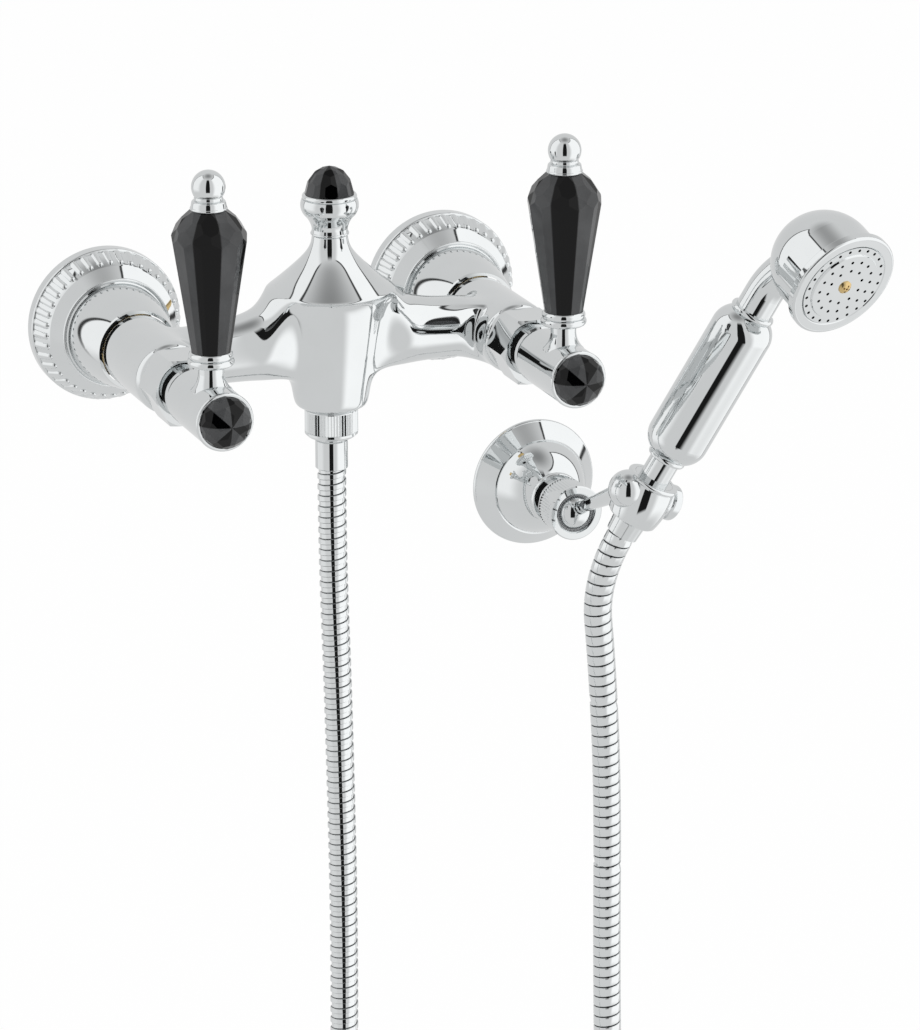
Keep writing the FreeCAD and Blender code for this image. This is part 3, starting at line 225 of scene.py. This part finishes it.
def floorPaint(setup):
    # White to the camera but for the shadow, and unseen in reflections
    material, tree = newMaterial("studioFloor")
    start = Wire(tree)
    glossyRay = start.make("ShaderNodeLightPath", output="Is Glossy Ray")
    transmissionRay = start.make("ShaderNodeLightPath", output="Is Transmission Ray")
    cameraRay = start.make("ShaderNodeLightPath", output="Is Camera Ray")
    paper = start.make("ShaderNodeBsdfDiffuse", None, {"Color": [setup["floorPaper"]] * 3 + [1.0]})
    glow = start.make("ShaderNodeEmission", None, {"Color": [1.0] * 4, "Strength": 1.0})
    pale = start.make("ShaderNodeMixShader", None, {0: setup["floorGlow"], 1: paper, 2: glow})
    lit = start.make("ShaderNodeMixShader", None, {0: cameraRay, 1: paper, 2: pale})
    clear = start.make("ShaderNodeBsdfTransparent")
    hidden = start.maths("MAXIMUM", glossyRay, transmissionRay)
    finishTree(tree, start.make("ShaderNodeMixShader", None, {0: hidden, 1: lit, 2: clear}))
    return material


def buildFloor(setup):
    bpy.ops.object.select_all(action="DESELECT")
    bpy.ops.mesh.primitive_plane_add(size=setup["floorSize"], location=(0.0, 0.0, setup["floorHeight"]))
    floor = bpy.context.object
    floor.name = "studioFloor"
    floor.data.materials.append(floorPaint(setup))


def buildLamps(setup):
    for name, place, size, share in setup["lamps"]:
        data = bpy.data.lights.new(name, "AREA")
        data.size = size
        data.energy = setup["lampPower"] * share
        lamp = bpy.data.objects.new(name, data)
        bpy.context.scene.collection.objects.link(lamp)
        lamp.location = place
        lamp.visible_glossy = False
        sight = Vector(setup["lampAim"]) - Vector(place)
        lamp.rotation_euler = sight.to_track_quat("-Z", "Y").to_euler()


buildWorld(studio)
buildFloor(studio)
buildLamps(studio)
print("studio lit")


# Finishes
finishes = {
    "polished_chrome": {"colour": (0.755, 0.775, 0.78), "metal": 1.0, "rough": 0.035, "wear": 0.03},
    "raw_brass": {"colour": (0.72, 0.53, 0.25), "metal": 1.0, "rough": 0.25, "wear": 0.12},
    "steel_fastener": {"colour": (0.55, 0.56, 0.57), "metal": 1.0, "rough": 0.3, "wear": 0.12},
    "white_ceramic": {"colour": (0.86, 0.86, 0.84), "metal": 0.0, "rough": 0.18, "wear": 0.05},
    "fibre_washer": {"colour": (0.35, 0.10, 0.08), "metal": 0.0, "rough": 0.75, "wear": 0.15},
    "black_rubber": {"colour": (0.03, 0.03, 0.03), "metal": 0.0, "rough": 0.6, "wear": 0.15},
    "grey_nylon": {"colour": (0.42, 0.43, 0.44), "metal": 0.0, "rough": 0.45, "wear": 0.1},
}

# Shared by these finishes: scales of the cloudy and the fine pattern, darkness of the dull places,
# and how much of the wear is there with and without the fine pattern
drift = {"cloudScale": 60.0, "grainScale": 900.0, "dull": 0.93, "plainWear": 0.6, "grainWear": 0.8}


def surfacePaint(name, look, drift):
    # Colour and gloss drift a little over the surface, as polishing and handling leave them
    material, tree = newMaterial(name)
    start = Wire(tree)
    place = start.make("ShaderNodeTexCoord", output="Object")
    cloud = start.make("ShaderNodeTexNoise", None,
                       {"Vector": place, "Scale": drift["cloudScale"], "Detail": 3.0}, "Fac")
    grain = start.make("ShaderNodeTexNoise", None,
                       {"Vector": place, "Scale": drift["grainScale"], "Detail": 2.0}, "Fac")
    pale = [*look["colour"], 1.0]
    dull = [channel * drift["dull"] for channel in look["colour"]] + [1.0]
    colour = start.make("ShaderNodeMix", {"data_type": "RGBA"}, {"Factor": cloud, 6: dull, 7: pale}, 2)
    wear = look["wear"] * (drift["plainWear"] + drift["grainWear"] * grain)
    rough = look["rough"] + (cloud - 0.5) * wear
    inputs = {"Base Color": colour, "Metallic": look["metal"], "Roughness": rough}
    finishTree(tree, start.make("ShaderNodeBsdfPrincipled", None, inputs))
    return material


# Facets of the cut crystal take turns between black and a painted grey reflection, which stands in for the light
# that refraction shows inside a real one
crystal = {
    "deep": (0.0006, 0.0006, 0.0008),
    "paintedReflection": (0.085, 0.087, 0.09),
    "ior": 1.32,
    "rough": 0.015,
    "facets": 8,
    "turn": 22.5,           # where the middle of a facet with painted reflection is, in degrees round the axis
    "edge": 0.12,           # softness of the change between two facets
    "hazeScale": 60.0,
    "reflectionNoise": (0.35, 0.9),    # least painted reflection in a reflecting facet, and what the noise adds
    "hazeRough": 0.02,
}


def crystalPaint(name, look, middle, axis):
    # The facets go round the given axis through the piece's middle
    material, tree = newMaterial(name)
    start = Wire(tree)
    place = start.make("ShaderNodeTexCoord", output="Object")
    reflectionNoise = start.make("ShaderNodeTexNoise", None,
                      {"Vector": place, "Scale": look["hazeScale"], "Detail": 4.0}, "Fac")
    centred = start.make("ShaderNodeVectorMath", {"operation": "SUBTRACT"}, {0: place, 1: middle})
    across, upward = [start.make("ShaderNodeSeparateXYZ", None, {"Vector": centred}, letter)
                      for letter in "XYZ" if letter != axis]
    around = start.maths("ARCTAN2", upward, across) - math.radians(look["turn"])
    beat = start.maths("COSINE", around * (look["facets"] / 2.0))
    least, more = look["reflectionNoise"]
    # Painted reflection: these facets are made grey to stand in for the light seen inside the crystal
    glow = beat.step(-look["edge"], look["edge"]) * (least + more * reflectionNoise)
    colour = start.make("ShaderNodeMix", {"data_type": "RGBA"},
                        {"Factor": glow, 6: [*look["deep"], 1.0], 7: [*look["paintedReflection"], 1.0]}, 2)
    rough = look["rough"] + look["hazeRough"] * reflectionNoise
    inputs = {"Base Color": colour, "Roughness": rough, "IOR": look["ior"]}
    finishTree(tree, start.make("ShaderNodeBsdfPrincipled", None, inputs))
    return material


hoseFinish = {
    "crest": (0.755, 0.775, 0.78),
    # The seam colour is painted shade for the shadow in the grooves between the bands
    "seam": (0.045, 0.047, 0.05),
    "rough": 0.06,
    "seamRough": 0.25,
    "polishedAndLitFrom": 0.7,       # value of the piece's polishedAndLit attribute from which it is bright and out of the painted groove shade
    "cloudScale": 90.0,
    "cloudRough": 0.03,
}


def hosePaint(name, look):
    # The bands are polished, and the seams between them are rougher and painted dark as shade in the grooves
    material, tree = newMaterial(name)
    start = Wire(tree)
    shadeAndPolishMask = start.make("ShaderNodeAttribute", {"attribute_name": "polishedAndLit"}, None, "Fac")
    place = start.make("ShaderNodeTexCoord", output="Object")
    cloud = start.make("ShaderNodeTexNoise", None,
                       {"Vector": place, "Scale": look["cloudScale"], "Detail": 3.0}, "Fac")
    polishedAndLit = shadeAndPolishMask.step(0.0, look["polishedAndLitFrom"])
    # Dark in the seams: painted shade where the grooves would be in shadow
    colour = start.make("ShaderNodeMix", {"data_type": "RGBA"},
                        {"Factor": polishedAndLit, 6: [*look["seam"], 1.0], 7: [*look["crest"], 1.0]}, 2)
    rough = look["seamRough"] + polishedAndLit * (look["rough"] - look["seamRough"])
    rough = rough + look["cloudRough"] * (cloud - 0.5)
    inputs = {"Base Color": colour, "Metallic": 1.0, "Roughness": rough}
    finishTree(tree, start.make("ShaderNodeBsdfPrincipled", None, inputs))
    return material


paints = {slot: surfacePaint(slot, look, drift) for slot, look in finishes.items()}
paints["ribbed_steel"] = hosePaint("ribbed_steel", hoseFinish)


def paintNodes():
    for name, piece in nodes.items():
        finish = slotOf[name]
        if finish == "black_crystal":
            low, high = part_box(name)
            middle = [(first + second) / 2.0 for first, second in zip(low, high)]
            paints[name] = crystalPaint(name, crystal, middle, "Y" if name.startswith("hub") else "Z")
            finish = name
        for place in range(len(piece.data.materials)):
            piece.material_slots[place].material = paints[finish]


paintNodes()
print("finishes made:", len(paints))


def smoothed(piece, angle):
    bpy.ops.object.select_all(action="DESELECT")
    piece.select_set(True)
    bpy.context.view_layer.objects.active = piece
    bpy.ops.object.shade_smooth_by_angle(angle=math.radians(angle))


# Casting: vessel with its dome, arms and valve tubes as one cage of rings, sizes in millimetres
casting = {
    "sides": 16,
    "depth": 69.5,          # of the vessel's axis in front of the wall
    "valve": 75.0,          # from the vessel's axis to a valve's
    "armHeight": 2.6,
    "rim": 25.0,            # height of the dome's edge
    "armFoot": -10.0,       # height where the arm's lower side leaves the vessel
    "shoulder": 1.04,       # growth of the dome's edge over the arms
    # Height and radius
    "vessel": ((-25.3, 7.0), (-25.3, 12.6), (-24.2, 15.0), (-19.5, 15.8), (-10.0, 17.4), (-1.2, 18.8), (7.6, 20.2),
               (15.8, 21.5), (22.8, 22.9), (25.0, 26.0), (27.9, 22.5), (31.2, 18.7), (34.5, 15.1), (38.0, 11.5),
               (41.4, 8.8), (44.6, 7.5), (47.3, 7.4), (47.6, 6.8), (47.6, 3.0)),
    # Distance from the vessel's axis, rise of the middle, radius from front to back, radius up and down
    "arm": ((29.5, 2.4, 14.6, 15.8), (35.5, 1.2, 13.3, 14.0), (43.0, 0.5, 12.8, 13.1), (50.0, 0.2, 12.6, 12.7),
            (56.0, 0.0, 12.6, 12.6)),
    # Distance from the wall and radius; the arm joins between the two middle places
    "tube": ((45.5, 9.0), (45.5, 15.0), (46.3, 15.2), (55.0, 15.2), (60.5, 15.2), (66.5, 15.2), (72.5, 15.2),
             (78.5, 15.2), (85.0, 15.2), (88.6, 15.2), (90.7, 13.4), (91.0, 12.0), (91.0, 8.0)),
    "tubeJoint": (60.5, 78.5),
    "vesselReach": 28.0,    # farther out, the faces are the arm's
    # Half width of the openings for an arm, in sides of a ring
    "vesselOpening": 1.5,
    "tubeOpening": 2.5,
    # Creases of the dome's edge: from and to, in sides of a ring off the arms' line, and how sharp
    "creases": ((1.4, 5.0, 0.95), (0.6, 1.4, 0.75)),
    "slack": 0.1,           # for comparing places
    "levels": 3,
    "smoothAngle": 42.0,
}
millimetre = 0.001
axes = [Vector(row) for row in ((1, 0, 0), (0, 1, 0), (0, 0, 1))]


def addRings(sides, rows, start, axis, across, upward, capped):
    # A circle of the cage, extruded from row to row; a row is place, lift, radius across and radius up
    turn = math.pi / sides
    tilt = Quaternion(axes[axis], turn) @ axes[axis].to_track_quat("Z", "Y")
    widen = 3.0 / (2.0 + math.cos(2.0 * turn))      # smoothing draws the cage in by this much
    middle = (start + axes[axis] * rows[0][0] + axes[upward] * rows[0][1]) * millimetre
    bpy.ops.mesh.primitive_circle_add(vertices=sides, radius=widen * millimetre, location=middle,
                                      rotation=tilt.to_euler(), fill_type="NGON" if capped else "NOTHING")
    before = (1.0, 1.0)
    for number, (place, lift, wide, high) in enumerate(rows):
        centre = (start + axes[axis] * place + axes[upward] * lift) * millimetre
        if number:
            bpy.ops.mesh.extrude_region_move(TRANSFORM_OT_translate={"value": centre - middle})
        growth = Vector((1.0, 1.0, 1.0))
        growth[across] = wide / before[0]
        growth[upward] = high / before[1]
        bpy.ops.transform.resize(value=growth, center_override=centre)
        middle = centre
        before = (wide, high)


def buildCage(look, axis):
    vessel = [(place, 0.0, radius, radius) for place, radius in look["vessel"]]
    tube = [(-place, 0.0, radius, radius) for place, radius in look["tube"]]
    addRings(look["sides"], vessel, axis, 2, 0, 1, True)
    for side in (-1.0, 1.0):
        arm = [(side * place, lift, wide, high) for place, lift, wide, high in look["arm"]]
        addRings(look["sides"], arm, axis + axes[2] * look["armHeight"], 0, 1, 2, False)
        addRings(look["sides"], tube, axes[0] * side * look["valve"], 1, 0, 2, True)


def pick(mesh, kind, test):
    # Selects the faces or edges that pass the test, which gets each one and its middle in millimetres
    bpy.ops.mesh.select_mode(type=kind)
    bpy.ops.mesh.select_all(action="DESELECT")
    bm = bmesh.from_edit_mesh(mesh)
    for item in (bm.faces if kind == "FACE" else bm.edges):
        middle = sum((vertex.co for vertex in item.verts), Vector()) / (millimetre * len(item.verts))
        if test(item, middle):
            item.select_set(True)
    bmesh.update_edit_mesh(mesh)


def sidesOff(across, ahead, look):
    # How far a direction is off the arms' line, in sides of a ring
    return abs(math.atan2(across, ahead)) * look["sides"] / (2.0 * math.pi)


def joinArms(mesh, look, axis):
    # Opens the vessel and the valve tubes, and bridges each opening to the arm's end
    armStart, armEnd = look["arm"][0][0], look["arm"][-1][0]
    slack = look["slack"]
    back, front = look["tubeJoint"]

    def onVessel(middle):
        beside = sidesOff(middle.y - axis.y, abs(middle.x), look) < look["vesselOpening"]
        return beside and abs(middle.x) < look["vesselReach"] and look["armFoot"] < middle.z < look["rim"]

    def onTube(middle):
        beside = sidesOff(middle.z, look["valve"] - abs(middle.x), look) < look["tubeOpening"]
        return beside and back < -middle.y < front and abs(middle.x) > armEnd + slack

    pick(mesh, "FACE", lambda item, middle: onVessel(middle) or onTube(middle))
    bpy.ops.mesh.delete(type="FACE")
    for side in (-1.0, 1.0):
        for first, second in ((0.0, armStart + slack), (armEnd - slack, look["valve"])):
            pick(mesh, "EDGE", lambda item, middle: item.is_boundary and first <= side * middle.x <= second)
            bpy.ops.mesh.bridge_edge_loops()


def shapeRim(mesh, look, axis):
    # Draws the dome's edge out over the arms and sharpens it elsewhere
    def rimPlace(item, middle):
        # Sides off the arms' line of an edge of the rim, and -1 for any other edge
        level = max(abs(vertex.co.z / millimetre - look["rim"]) for vertex in item.verts) < look["slack"]
        return sidesOff(middle.y - axis.y, abs(middle.x), look) if level else -1.0

    for side in (-1.0, 1.0):
        pick(mesh, "EDGE", lambda item, middle: 0.0 <= rimPlace(item, middle) < 0.5 and side * middle.x > 0.0)
        bpy.ops.transform.resize(value=(look["shoulder"], 1.0, 1.0), center_override=axis * millimetre)
    for first, second, sharpness in look["creases"]:
        pick(mesh, "EDGE", lambda item, middle: first < rimPlace(item, middle) < second)
        bpy.ops.transform.edge_crease(value=sharpness)


def buildCasting(look):
    axis = axes[1] * -look["depth"]
    bpy.ops.object.select_all(action="DESELECT")
    bpy.ops.mesh.primitive_plane_add(size=millimetre)
    piece = bpy.context.object
    piece.name = "mixer_casting"
    mesh = piece.data
    bpy.ops.object.mode_set(mode="EDIT")
    bpy.ops.mesh.delete(type="VERT")        # only the empty mesh is wanted
    buildCage(look, axis)
    joinArms(mesh, look, axis)
    shapeRim(mesh, look, axis)
    bpy.ops.mesh.select_all(action="SELECT")
    bpy.ops.mesh.normals_make_consistent(inside=False)
    bpy.ops.object.mode_set(mode="OBJECT")
    skin = piece.modifiers.new("skin", "SUBSURF")
    skin.levels = look["levels"]
    skin.render_levels = look["levels"]
    bpy.ops.object.modifier_apply(modifier="skin")
    smoothed(piece, look["smoothAngle"])
    mesh.materials.append(paints["polished_chrome"])
    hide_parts("mixer_body", "dome_cap")
    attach(piece, "root")
    print("casting faces", len(mesh.polygons))


buildCasting(casting)


# Hose: a strip wound in a long helix, its bands locked over each other
hose = {
    "route": (
        (0.0, -0.0695, -0.052),
        (0.0, -0.0695, -0.090),
        (0.0022, -0.0698, -0.160),
        (0.0039, -0.0706, -0.275),
        (0.0012, -0.0716, -0.400),
        (-0.0030, -0.0726, -0.505),
        (-0.0056, -0.0732, -0.560),
        (0.0195, -0.0740, -0.5975),
        (0.0610, -0.0748, -0.6115),
        (0.1030, -0.0754, -0.5995),
        (0.1300, -0.0758, -0.563),
        (0.1294, -0.0760, -0.508),
        (0.1260, -0.0760, -0.405),
        (0.1232, -0.0760, -0.300),
        (0.1228, -0.0764, -0.210),
        (0.1190, -0.0776, -0.152),
        (0.1142305, -0.0798454, -0.1126825),
        (0.1241102, -0.0855264, -0.0915610),
    ),
    "length": 1.1536,
    "radius": 0.006,
    "pitch": 0.0047,
    "sides": 40,
    # Outline of one band: place in the pitch where the hose hangs open and where it is closed, depth,
    # and how polished and free of the painted groove shade it is in each state
    "band": ((0.00, 0.00, 0.00022, 0.5, 0.5), (0.03, 0.08, 0.0, 1.0, 1.0), (0.435, 0.85, 0.0, 1.0, 1.0),
             (0.455, 0.87, 0.00013, 0.6, 0.6), (0.47, 0.90, 0.00056, 0.0, 0.0), (0.51, 0.93, 0.00060, 0.0, 0.0),
             (0.53, 0.94, 0.00060, 1.0, 0.2), (0.92, 0.96, 0.00060, 1.0, 0.2), (0.945, 0.975, 0.00060, 0.0, 0.0),
             (0.98, 0.985, 0.00056, 0.0, 0.0)),
    "openEnd": 0.30,        # share of the length where the hose starts to close up
    "closedStart": 0.50,
    # Upper stretches, counted down from the handset: length and the bodies that they join
    "stretches": ((0.080, "holder_arm", "handset"), (0.075, "ball_stud", "holder_arm"),
                  (0.090, "ball_cup", "ball_stud"), (0.150, "root", "ball_cup")),
    "curveSteps": 32,
    "lineStep": 0.0005,
    "pathStride": 8,        # places of the line from one point of a cord's path to the next
    "slack": 1e-9,          # for comparing places
    "merge": 2e-6,
    "smoothAngle": 32.0,
}


def hoseLine(look):
    # The smooth line through the route's control points
    curve = bpy.data.curves.new("hoseLine", "CURVE")
    curve.dimensions = "3D"
    curve.resolution_u = look["curveSteps"]
    spline = curve.splines.new("NURBS")
    spline.points.add(len(look["route"]) - 1)
    for point, place in zip(spline.points, look["route"]):
        point.co = (*place, 1.0)
    spline.order_u = 3
    spline.use_endpoint_u = True
    holder = bpy.data.objects.new("hoseLine", curve)
    mesh = bpy.data.meshes.new_from_object(holder)
    line = np.array([vertex.co for vertex in mesh.vertices])
    bpy.data.objects.remove(holder)
    bpy.data.meshes.remove(mesh)
    return line


def evenLine(line, step):
    # The line's places at even steps, as lengths from its start and as points
    along = np.concatenate([[0.0], np.cumsum(np.linalg.norm(np.diff(line, axis=0), axis=1))])
    places = np.linspace(0.0, along[-1], int(along[-1] / step) + 1)
    return places, np.stack([np.interp(places, along, line[:, axis]) for axis in range(3)], axis=1)


def lineFrames(line):
    # A direction beside the line, carried along without twist, and the one square to both
    ahead = np.gradient(line, axis=0)
    ahead /= np.linalg.norm(ahead, axis=1)[:, None]
    side = np.zeros_like(line)
    beside = np.array([1.0, 0.0, 0.0])
    for place, way in enumerate(ahead):
        beside = beside - way * np.dot(beside, way)
        beside /= np.linalg.norm(beside)
        side[place] = beside
    return side, np.cross(ahead, side)


def bandRows(look, total, first, last):
    # A row for each corner of each turn's band: place along the hose, depth, and how polished and free of the
    # painted groove shade it is
    pitch = look["pitch"]
    rows = []
    for turn in range(int(first / pitch) - 2, int(last / pitch) + 2):
        shut = (turn * pitch / total - look["openEnd"]) / (look["closedStart"] - look["openEnd"])
        shut = min(max(shut, 0.0), 1.0)
        for openPlace, closedPlace, depth, openPolishedAndLit, closedPolishedAndLit in look["band"]:
            share = openPlace + (closedPlace - openPlace) * shut
            rows.append(((turn + share) * pitch, depth, openPolishedAndLit + (closedPolishedAndLit - openPolishedAndLit) * shut))
    return np.array(rows)


def bandPoints(look, hung, rows, first, last):
    # Each row winds once round the hose, and what would pass an end of the stretch stays at that end
    places, line, side, other = hung
    column = np.arange(look["sides"]) / look["sides"]
    reach = np.clip(rows[:, :1] + look["pitch"] * column[None, :], first, last)
    atEnd = (reach <= first) | (reach >= last)
    deepest = max(corner[2] for corner in look["band"])
    depth = np.where(atEnd, deepest, rows[:, 1:2])

    def at(values):
        return np.stack([np.interp(reach, places, values[:, axis]) for axis in range(3)], axis=2)

    angle = 2.0 * math.pi * column[None, :, None]
    out = at(side) * np.cos(angle) + at(other) * np.sin(angle)
    return at(line) + out * (look["radius"] - depth)[:, :, None], atEnd


def bandFaces(look, atEnd):
    # After the last side, a row goes on as the row one turn later
    sides, perTurn = look["sides"], len(look["band"])
    faces = []
    for row in range(len(atEnd) - perTurn - 1):
        for place in range(sides):
            after, shift = (place + 1, row) if place + 1 < sides else (0, row + perTurn)
            corners = (row * sides + place, shift * sides + after, (shift + 1) * sides + after,
                       (row + 1) * sides + place)
            if not all(atEnd.flat[corner] for corner in corners):
                faces.append(corners)
    return faces


def closeMesh(mesh, merge):
    # Drops loose points, merges doubles and fills the two ends
    bm = bmesh.new()
    bm.from_mesh(mesh)
    bmesh.ops.delete(bm, geom=[vertex for vertex in bm.verts if not vertex.link_faces], context="VERTS")
    bmesh.ops.remove_doubles(bm, verts=bm.verts, dist=merge)
    bmesh.ops.holes_fill(bm, edges=[edge for edge in bm.edges if edge.is_boundary], sides=0)
    bmesh.ops.recalc_face_normals(bm, faces=bm.faces)
    bm.to_mesh(mesh)
    bm.free()


def hoseStretch(name, look, hung, first, last):
    rows = bandRows(look, hung[0][-1], first, last)
    points, atEnd = bandPoints(look, hung, rows, first, last)
    mesh = bpy.data.meshes.new(name)
    mesh.from_pydata(points.reshape(-1, 3).tolist(), [], bandFaces(look, atEnd))
    # Per-point mask: 1 on the polished crests, 0 in the seams that get the painted shade
    shadeAndPolishMask = mesh.attributes.new("polishedAndLit", "FLOAT", "POINT")
    shadeAndPolishMask.data.foreach_set("value", np.repeat(rows[:, 2], look["sides"]).astype(np.float32))
    piece = bpy.data.objects.new(name, mesh)
    bpy.context.scene.collection.objects.link(piece)
    closeMesh(mesh, look["merge"])
    smoothed(piece, look["smoothAngle"])
    mesh.materials.append(paints["ribbed_steel"])
    return piece


def pathBetween(look, hung, first, last):
    places, line = hung[:2]
    inside = line[(places >= first - look["slack"]) & (places <= last + look["slack"])]
    return inside[::look["pathStride"]].tolist() + [inside[-1].tolist()]


def declareCord():
    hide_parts("shower_hose")


def buildHose(look):
    places, line = evenLine(hoseLine(look), look["lineStep"])
    hung = (places, line, *lineFrames(line))
    print("hose line", round(places[-1], 4))
    last = places[-1]
    declared = look["length"]
    for stretch, lower, upper in look["stretches"]:
        first = last - stretch
        piece = hoseStretch("hose_" + upper, look, hung, first, last)
        path = pathBetween(look, hung, first, last)
        declareCord()
        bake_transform(piece)
        last = first
        declared -= stretch
    piece = hoseStretch("hose_root", look, hung, 0.0, last)
    path = pathBetween(look, hung, 0.0, last)
    declareCord()
    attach(piece, "root")


buildHose(hose)
print("hose hung")
